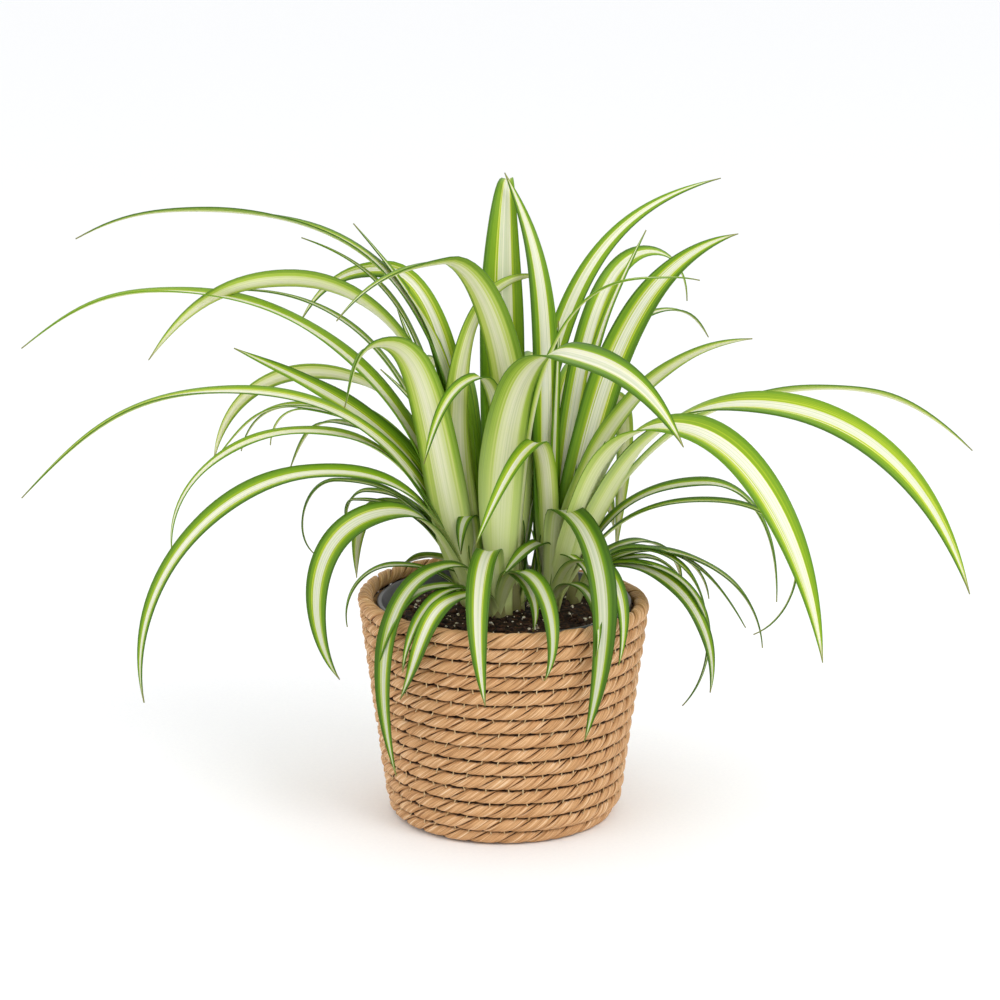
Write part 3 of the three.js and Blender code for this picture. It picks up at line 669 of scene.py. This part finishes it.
LEAVES = {
    "left": [
        # long arching leaves
        leaf(175, (204, 297), 28, 16, crest=(138, 312), lean=-2, stiff=0.86, roll=-40, twist=55),
        leaf(180, (230, 244), 38, 15, crest=(157, 273), stiff=0.62, roll=-30, twist=30),
        leaf(180, (166, 238), 55, 15, crest=(94, 279), lean=2, roll=-35, twist=95),
        leaf(175, (126, 271), 5, 11, crest=(120, 272)),
        leaf(190, (230, 176), 45, 15, crest=(133, 226), lean=14, roll=-30, twist=35),
        leaf(205, (181, 81), 100, 14, crest=(92, 188), lean=12, roll=-15, twist=-5),
        leaf(175, (124, 242), -25, 15, roll=-30),
        # upright leaves behind them
        leaf(170, (63, 306), -50, 13, lean=3),
        leaf(170, (90, 298), -18, 10),
        leaf(160, (97, 251), 60, 14, crest=(49, 281), lean=1, roll=-50),
        leaf(36, (41, 277), 10, 15, lean=-14, roll=-135, twist=60),
        leaf(140, (54, 259), -65, 8),
        leaf(190, (49, 235), -45, 10, lean=0, stiff=0.6, roll=-20),
        # broad leaf folding over towards the front
        leaf(215, (79, 223), 70, 22, crest=(59, 252), lean=15, roll=60, twist=-30),
        # middle tier, drooping at the tips
        leaf(160, (148, 173), 80, 13, crest=(84, 225), twist=60),
        leaf(165, (143, 176), 50, 10, crest=(95, 209)),
        leaf(155, (138, 177), 75, 8, crest=(103, 204)),
        leaf(150, (127, 179), 85, 8, crest=(103, 201)),
        leaf(150, (115, 167), 65, 11, crest=(85, 196)),
        leaf(190, (156, 143), 95, 12, crest=(91, 204), lean=16, twist=-10),
        leaf(155, (92, 212), 0, 7),
        leaf(165, (81, 210), 0, 11),
        # low tier, arching over the rim
        leaf(215, (84, 84), 125, 15, crest=(57, 166), ease=0.55, lean=22, twist=-45),
        leaf(180, (83, 136), 140, 8, crest=(72, 175), lean=20),
        leaf(170, (68, 140), 100, 9, crest=(57, 167), lean=20),
        leaf(180, (67, 154), 100, 8, crest=(63, 165), lean=20),
        leaf(165, (65, 119), 92, 11, crest=(47, 159), lean=18, twist=60),
        leaf(185, (67, 99), 100, 8, crest=(43, 131), lean=20),
        leaf(165, (40, 128), 25, 13, crest=(25, 133), roll=30),
        leaf(190, (26, 126), 25, 8, crest=(17, 129)),
        # short leaf bent double
        leaf(240, (16, 140), 95, 11, crest=(8, 158), lean=2),
        # back of the plant
        leaf(105, (130, 180), 60, 14, crest=(65, 225)),
        leaf(98, (120, 165), 70, 13, crest=(65, 215)),
        leaf(106, (105, 140), 70, 12, crest=(58, 178), lean=14),
        leaf(95, (85, 115), 80, 10, crest=(50, 160), lean=18),
    ],
    "centre": [
        # tall leaves in the middle
        leaf(58, (125, 322), -15, 12, lean=9, turn=-28, roll=35),
        leaf(119, (60, 312), 70, 26, crest=(50, 323), lean=6, turn=-30),
        leaf(215, (104, 270), 42, 20, crest=(41, 292), lean=-8, roll=75, twist=-60),
        leaf(225, (62, 195), 68, 14, crest=(24, 233), lean=0),
        # thin leaf among the tall ones
        leaf(-28, (94, 280), 15, 8, crest=(70, 282), lean=1, stiff=0.85, turn=26),
        # back of the plant
        leaf(90, (120, 180), 60, 15, crest=(60, 220)),
        leaf(80, (140, 160), 75, 15, crest=(75, 225)),
        leaf(70, (110, 165), 60, 14, crest=(55, 200)),
        leaf(95, (100, 130), 75, 12, crest=(60, 175), lean=14),
        leaf(80, (85, 120), 75, 10, crest=(50, 160), lean=18),
    ],
    "front": [
        leaf(-50, (137, 221), 48, 24, crest=(53, 252), lean=-4, stiff=0.8, roll=-57, twist=82),
        # small leaves falling over the front rim
        leaf(258, (76, 84), 95, 13.5, crest=(21, 147), turn=8),
        leaf(248, (69, 79), 78, 12, crest=(46, 128), ease=0.5, lean=20, turn=-22),
        leaf(220, (79, 91), 70, 10, crest=(44, 130), lean=20),
        leaf(215, (79, 43), 95, 11, crest=(31, 139), lean=12, turn=16, twist=-25),
        leaf(230, (72, 95), 80, 8, crest=(36, 129), lean=20),
        leaf(-60, (49, 113), 100, 9, crest=(20, 135), lean=10, turn=-8),
        leaf(-61, (73, 95), 118, 11, crest=(34, 138), lean=16, turn=-10),
    ],
    "right": [
        # tall leaves at the upper right
        leaf(121, (44, 328), -45, 16.5, lean=2),
        leaf(45, (104, 255), 88, 14, crest=(70, 285), lean=5, roll=30),
        leaf(30, (57, 300), -60, 9),
        leaf(10, (97, 300), -12, 19, lean=10, stiff=0.52, roll=60),
        leaf(40, (111, 236), 55, 11, crest=(78, 254)),
        leaf(60, (9, 257), -88, 7, lean=0, roll=80),
        leaf(-5, (102, 251), -5, 13, lean=3, stiff=0.57, roll=-50),
        # three long leaves arching far to the right
        leaf(15, (233, 177), 42, 15, crest=(142, 215), lean=22, roll=-35, twist=20),
        leaf(-25, (223, 142), 70, 20, crest=(117, 225), lean=22, roll=-35, twist=78),
        leaf(-40, (170, 112), 80, 21, crest=(84, 215), ease=0.34, lean=16, roll=-20, twist=58),
        # below them
        leaf(5, (119, 108), 90, 12, crest=(79, 172), lean=25, twist=10),
        leaf(-10, (106, 99), 155, 9, crest=(84, 168), ease=0.8, lean=25),
        leaf(55, (64, 122), 92, 14, crest=(47, 212), lean=8),
        # leaves folding over towards the front
        leaf(258, (58, 153), 80, 11.5, crest=(19, 199), lean=-6, turn=-28),
        leaf(-60, (75, 60), 100, 16, crest=(15, 163), turn=-17),
        leaf(-50, (68, 95), 95, 10, crest=(38, 140), turn=-10),
        leaf(-65, (76, 104), 90, 7, crest=(43, 129), lean=16, turn=-8),
        leaf(235, (42, 134), 25, 11, crest=(8, 144), lean=0),
        leaf(-40, (29, 122), 75, 7, crest=(10, 138), lean=4),
        # back of the plant
        leaf(75, (130, 170), 65, 15, crest=(65, 222)),
        leaf(78, (110, 140), 75, 14, crest=(62, 188), lean=12),
        leaf(66, (90, 128), 70, 13, crest=(52, 162), lean=16),
    ],
    "side": [
        leaf(0, (99, 82), 85, 10, crest=(33, 135), lean=18),
        leaf(-5, (69, 102), 80, 10, crest=(33, 136), lean=16),
        leaf(-25, (77, 68), 98, 11, crest=(30, 130), lean=16, twist=20),
        leaf(0, (90, 93), 60, 7, crest=(32, 136), lean=18),
        leaf(5, (64, 108), 50, 8, crest=(35, 130), lean=18),
        leaf(-20, (60, 57), 130, 8, crest=(32, 131), ease=0.6, lean=16),
        leaf(35, (72, 104), 85, 9, crest=(38, 133), lean=18),
        leaf(18, (76, 102), 80, 9, crest=(40, 131), lean=18),
    ],
}


# Short young leaves that close the gaps between the crowns.
YOUNG_LEAVES = {
    "centre": [
        leaf(30, (13, 166), -80, 9),
        leaf(75, (16, 158), -70, 9),
        leaf(15, (17, 150), -60, 9, lean=32),
    ],
    "right": [
        leaf(150, (10, 178), -80, 10),
        leaf(185, (9, 150), -75, 8),
        leaf(110, (15, 170), -75, 9),
        leaf(170, (15, 158), -65, 9, lean=30),
    ],
}


def smooth(value, low=0.0, high=1.0):
    """Goes from 0 at low to 1 at high, level at both ends."""
    share = min(1.0, max(0.0, (value - low) / (high - low)))
    return share * share * (3 - 2 * share)


def leaf_arch(shape):
    """The leaf's line as reach and height: a rise to the crest and a fall to the tip."""
    root = Vector((LEAF_SPREAD, LEAF_ROOT))
    end = Vector(shape["tip"])
    top = Vector(shape["crest"]) if shape["crest"] else end
    lean = math.radians(shape["lean"])
    rising = root + shape["stiff"] * (top.y - root.y) * Vector((math.sin(lean), math.cos(lean)))
    fall = math.radians(shape["fall"])
    pointing = Vector((math.cos(fall), -math.sin(fall)))
    if not shape["crest"]:
        before = end - LEAF_FREE_TIP_REACH * (end - root).length * pointing
        return geometry.interpolate_bezier(root, rising, before, end, FREE_ARCH_STEPS)
    level = Vector((LEAF_CREST_REACH * (top.x - root.x), 0))
    onward = Vector((shape["ease"] * (end - top).length, 0))
    back = LEAF_TIP_REACH * (end - top).length * pointing
    rise = geometry.interpolate_bezier(root, rising, top - level, top, ARCH_STEPS)
    fall_away = geometry.interpolate_bezier(top, top + onward, end - back, end, ARCH_STEPS)
    return rise + fall_away[1:]


def evenly(points, parts):
    """The same line, with its points evenly far apart."""
    lengths = [0.0]
    for before, after in zip(points, points[1:]):
        lengths.append(lengths[-1] + (after - before).length)
    result = []
    at = 0
    for part in range(parts + 1):
        wanted = lengths[-1] * part / parts
        while at < len(points) - 2 and lengths[at + 1] < wanted:
            at += 1
        share = (wanted - lengths[at]) / max(1e-9, lengths[at + 1] - lengths[at])
        result.append(points[at].lerp(points[at + 1], min(1.0, share)))
    return result


def leaf_width(width, t):
    """Width at this share of the length: wide where the base clasps the crown, then a
    little narrower, full by a third of the way and tapered to a point."""
    taper = max(0.0, (t - LEAF_TAPER_FROM) / (1 - LEAF_TAPER_FROM))
    share = LEAF_ROOT_SHARE + (1 - LEAF_ROOT_SHARE) * smooth(t, 0, LEAF_FULL_WIDTH_AT)
    share *= 1 - taper ** LEAF_TAPER_POWER
    clasp = 1 + LEAF_CLASP * (1 - smooth(t, 0, LEAF_CLASP_UNTIL))
    return max(LEAF_TIP_WIDTH, width * share * clasp)


def add_blade(bm, shape, crown, chance):
    """One leaf, as a grid laid along its line. The fold is deep where the base clasps
    the crown and shallow further out, and the margins ripple slightly. Its traits are the
    place of its streaks, how crisp its stripe is, which above a point also darkens the leaf
    as painted shade, and how far that stripe lies off the middle."""
    _, x, y, _ = CROWNS[crown]
    points = evenly(leaf_arch(shape), LEAF_STATIONS)
    headings = [
        math.radians(shape["heading"] + shape["turn"] * (station / LEAF_STATIONS) ** 2)
        for station in range(LEAF_STATIONS + 1)]
    line = [
        Vector((x + point.x * math.cos(angle), y + point.x * math.sin(angle), point.y))
        for point, angle in zip(points, headings)]
    tag = bm.verts.layers.float_color.get("leaf") or bm.verts.layers.float_color.new("leaf")
    cells = grid_strip(bm, LEAF_STATIONS, LEAF_CELLS)
    ripple = chance.uniform(*LEAF_RIPPLE_START)
    waves = chance.uniform(*LEAF_RIPPLES)
    low = max(point.z for point in line) < LOW_LEAF_TOP
    stripe_crispness_and_shade = chance.uniform(*(LOW_LEAF_STRIPE_AND_SHADE if low else TALL_LEAF_STRIPE_AND_SHADE))
    traits = (chance.random(), stripe_crispness_and_shade, chance.random(), 1.0)
    for (station, cell), vert in cells.items():
        t = station / LEAF_STATIONS
        angle = headings[station]
        along = (line[min(LEAF_STATIONS, station + 1)] - line[max(0, station - 1)]).normalized()
        level = Vector((-math.sin(angle), math.cos(angle), 0))
        face = along.cross(level).normalized()
        rolled = math.radians(shape["roll"] + shape["twist"] * smooth(t, 0, LEAF_TWISTED_BY))
        turn = Matrix.Rotation(rolled, 3, along)
        side = turn @ level
        up = turn @ face
        across = 2 * cell / LEAF_CELLS - 1
        half = leaf_width(shape["width"], t) / 2
        keel = math.radians(LEAF_KEEL + LEAF_BASE_KEEL * (1 - smooth(t, 0, LEAF_OPENED_BY)))
        fold = math.sqrt(across ** 2 + LEAF_FOLD_ROUNDING) - math.sqrt(LEAF_FOLD_ROUNDING)
        swing = math.sin(ripple + 2 * math.pi * waves * t + across)
        wave = LEAF_RIPPLE * half * across ** 2 * swing
        vert.co = (line[station] + side * across * half * math.cos(keel)
                   + up * (fold * half * math.sin(keel) + wave)) * MM
        vert[tag] = traits


def crown_core(bm, crown):
    """Pale leaf bases packed tight in the middle of a crown."""
    _, x, y, radius = CROWNS[crown]
    middle = Vector((x, y, CORE_FOOT + CORE_HEIGHT / 2))
    bmesh.ops.create_cone(
        bm, cap_ends=True, segments=32, radius1=radius * CORE_FOOT_SHARE * MM,
        radius2=radius * CORE_TOP_SHARE * MM, depth=CORE_HEIGHT * MM,
        matrix=Matrix.Translation(middle * MM))


def leaf_skin(name, roughness, base, pale_share, line, stops):
    """Leaf skin, waxy and satin. Its bands run the whole length of the blade and so are
    drawn from the place across it, broken up by streaks and veins 0.3 to 2 mm wide. Each
    leaf has its own stripe width and its stripe a little off the middle, and low leaves
    have a crisper stripe and colours darkened as painted shade. The bands fade over the
    first share of the length into a base that is the leaf's own pale colour brightened as
    painted light, the foot is darkened as painted shade where it meets the soil, and the
    very tip is dry."""
    material, surface = blank_material(
        name, Roughness=roughness, Specular_IOR_Level=0.22, Subsurface_Weight=0.15,
        Subsurface_Scale=0.001, Subsurface_Radius=(1.0, 1.0, 0.2))
    place = add_node(material, "ShaderNodeUVMap", uv_map="UVMap")
    parts = add_node(material, "ShaderNodeSeparateXYZ", {0: place.outputs["UV"]})
    traits = add_node(material, "ShaderNodeAttribute", attribute_name="leaf")
    trait = add_node(material, "ShaderNodeSeparateColor", {0: traits.outputs["Color"]})
    aside = add_node(material, "ShaderNodeMath", {0: trait.outputs["Blue"]}, {1: 0.3, 2: -1.15},
                     operation="MULTIPLY_ADD")
    centred = add_node(material, "ShaderNodeMath", {0: parts.outputs["Y"], 2: aside.outputs[0]},
                       {1: 2.0}, operation="MULTIPLY_ADD")
    across = add_node(material, "ShaderNodeMath", {0: centred.outputs[0]}, operation="ABSOLUTE")
    far = add_node(material, "ShaderNodeMath", {0: parts.outputs["Y"]}, {1: 15.0},
                   operation="MULTIPLY")
    drift = add_node(material, "ShaderNodeMath", {0: parts.outputs["X"]}, {1: 0.9},
                     operation="MULTIPLY")
    own = add_node(material, "ShaderNodeMath", {0: trait.outputs["Red"]}, {1: 50.0},
                   operation="MULTIPLY")
    streak = add_node(material, "ShaderNodeCombineXYZ", {
        0: far.outputs[0], 1: drift.outputs[0], 2: own.outputs[0]})
    streaks = add_node(material, "ShaderNodeTexNoise", {"Vector": streak.outputs[0]},
                       {"Scale": 1.0, "Detail": 5.0, "Roughness": 0.65})
    shift = add_node(material, "ShaderNodeMath", {0: streaks.outputs["Fac"]}, {1: 1.0, 2: -0.2},
                     operation="MULTIPLY_ADD")
    crisp = add_node(material, "ShaderNodeMath", {0: trait.outputs["Green"], 2: shift.outputs[0]},
                     {1: -0.33}, operation="MULTIPLY_ADD")
    band = add_node(material, "ShaderNodeMath", {
        0: across.outputs[0], 1: trait.outputs["Green"], 2: crisp.outputs[0]},
        operation="MULTIPLY_ADD")
    banded = add_node(material, "ShaderNodeValToRGB", {"Fac": band.outputs[0]}, stops=stops)
    veins = add_node(material, "ShaderNodeMapping", {"Vector": streak.outputs[0]},
                     {"Scale": (2.2, 0.7, 1.0)})
    vein = add_node(material, "ShaderNodeTexNoise", {"Vector": veins.outputs[0]},
                    {"Scale": 1.0, "Detail": 1.0})
    depth = add_node(material, "ShaderNodeMapRange", {"Value": vein.outputs["Fac"]},
                     {"From Min": 0.38, "From Max": 0.62, "To Min": 0.3, "To Max": 0.0})
    veined = add_node(material, "ShaderNodeMix", {0: depth.outputs[0], 6: banded.outputs["Color"]},
                      {7: srgb(line)}, data_type="RGBA")
    # Painted shade: low leaves, whose stripe trait is high, are darkened all over.
    low = add_node(material, "ShaderNodeMapRange", {"Value": trait.outputs["Green"]},
                   {"From Min": 1.1, "From Max": 1.5})
    low_leaf_shaded = add_node(material, "ShaderNodeMix", {0: low.outputs[0], 6: veined.outputs[2]},
                      {7: srgb("d8dcd4")}, data_type="RGBA", blend_type="MULTIPLY")
    # Partly painted light: near the root the blade pales to its own pale base, and that base colour
    # is brightened further, standing in for light shining through the leaves there.
    near_root = add_node(material, "ShaderNodeMapRange", {"Value": parts.outputs["X"]}, {
        "From Min": 0.0, "From Max": pale_share, "To Min": 0.9, "To Max": 0.0},
        interpolation_type="SMOOTHSTEP")
    base_paled_and_lit = add_node(material, "ShaderNodeMix", {0: near_root.outputs[0], 6: low_leaf_shaded.outputs[2]},
                      {7: srgb(base)}, data_type="RGBA")
    near_tip = add_node(material, "ShaderNodeMapRange", {"Value": parts.outputs["X"]},
                        {"From Min": 0.965, "From Max": 0.995, "To Max": 0.8})
    # Painted shade: the foot of each blade darkens to a soil brown where it goes into the soil.
    at_soil = add_node(material, "ShaderNodeMapRange", {"Value": parts.outputs["X"]},
                       {"From Min": 0.008, "From Max": 0.035, "To Min": 0.75, "To Max": 0.0})
    foot_shaded = add_node(material, "ShaderNodeMix", {0: at_soil.outputs[0], 6: base_paled_and_lit.outputs[2]},
                      {7: srgb("6a5a34")}, data_type="RGBA")
    tipped = add_node(material, "ShaderNodeMix", {0: near_tip.outputs[0], 6: foot_shaded.outputs[2]},
                      {7: srgb("8d8a4c")}, data_type="RGBA")
    ridges = add_node(material, "ShaderNodeBump", {"Height": streaks.outputs["Fac"]},
                      {"Strength": 0.5, "Distance": 0.0004})
    material.node_tree.links.new(tipped.outputs[2], surface.inputs["Base Color"])
    material.node_tree.links.new(ridges.outputs["Normal"], surface.inputs["Normal"])
    return material


upper_skin = leaf_skin("leaf_upper_skin", 0.42, "e6ec9c", 0.26, "6c981a", [
    (0.00, "f0eedb"), (0.30, "edebd0"), (0.345, "d9dc5c"), (0.40, "b2c52a"), (0.50, "8eac1e"),
    (0.70, "729a18"), (0.90, "5a8414"), (0.99, "446a10"),
])
under_skin = leaf_skin("leaf_under_skin", 0.5, "cfdb92", 0.5, "9bb24a", [
    (0.00, "eae8ca"), (0.40, "dfe2ac"), (0.52, "cbd472"), (0.66, "aec44a"), (0.82, "90ae32"),
    (0.99, "6a8e20"),
])

chance = random.Random(17)
for node in ("shoot_left", "shoot_centre", "shoot_right", "shoot_side"):
    bm = bmesh.new()
    for crown, values in CROWNS.items():
        if values[0] == node:
            for shape in LEAVES[crown] + YOUNG_LEAVES.get(crown, []):
                add_blade(bm, shape, crown, chance)
    blades = finished(node + "_blades", bm, [upper_skin, under_skin], node)
    thick = blades.modifiers.new("leaf_thickness", "SOLIDIFY")
    thick.thickness = LEAF_THICKNESS * MM
    thick.offset = 0
    thick.material_offset = 1

for crown, values in CROWNS.items():
    bm = bmesh.new()
    bm.loops.layers.uv.verify()
    crown_core(bm, crown)
    finished("crown_core_" + crown, bm, [under_skin], values[0])


# Floor: a plain sheet of white paper that the basket stands on. It is the ground of the
# picture and no piece of the plant.
FLOOR_REACH = 6


def white_sweep():
    """Matte white paper with only its own faint tooth, 2 mm across."""
    material, surface = blank_material("matte_white_paper", Roughness=0.9, Specular_IOR_Level=0.1)
    place = add_node(material, "ShaderNodeTexCoord")
    tooth = add_node(material, "ShaderNodeTexNoise", {"Vector": place.outputs["Object"]},
                     {"Scale": 500.0})
    colour = add_node(material, "ShaderNodeValToRGB", {"Fac": tooth.outputs["Fac"]}, stops=[
        (0.3, "fafbfd"), (0.7, "fdfeff")])
    material.node_tree.links.new(colour.outputs["Color"], surface.inputs["Base Color"])
    return material


bm = bmesh.new()
bmesh.ops.create_grid(bm, x_segments=1, y_segments=1, size=FLOOR_REACH)
floor_mesh = bpy.data.meshes.new("floor")
bm.to_mesh(floor_mesh)
bm.free()
floor_mesh.materials.append(white_sweep())
floor = bpy.data.objects.new("floor", floor_mesh)
bpy.context.collection.objects.link(floor)


# Light: white surroundings, with one large soft light above on the right and a weaker one
# from the front left, shown at their plain screen colours.
bpy.context.scene.view_settings.view_transform = "Standard"
world = bpy.data.worlds.new("white_studio")
world.use_nodes = True
world.node_tree.nodes["Background"].inputs["Color"].default_value = (1, 1, 1, 1)
world.node_tree.nodes["Background"].inputs["Strength"].default_value = 1.0
bpy.context.scene.world = world


def soft_light(name, place, aim, size, power):
    """A round lamp of this size in metres and power in watts, turned to what it aims at."""
    data = bpy.data.lights.new(name, "AREA")
    data.shape = "DISK"
    data.size = size
    data.energy = power
    light = bpy.data.objects.new(name, data)
    light.location = place
    light.rotation_euler = (Vector(aim) - Vector(place)).to_track_quat("-Z", "Y").to_euler()
    bpy.context.collection.objects.link(light)


soft_light("key_light", (1.1, -1.2, 1.7), aim=(0, 0, 0.15), size=1.0, power=14)
soft_light("fill_light", (-1.4, -1.1, 0.9), aim=(0, 0, 0.15), size=1.4, power=4)
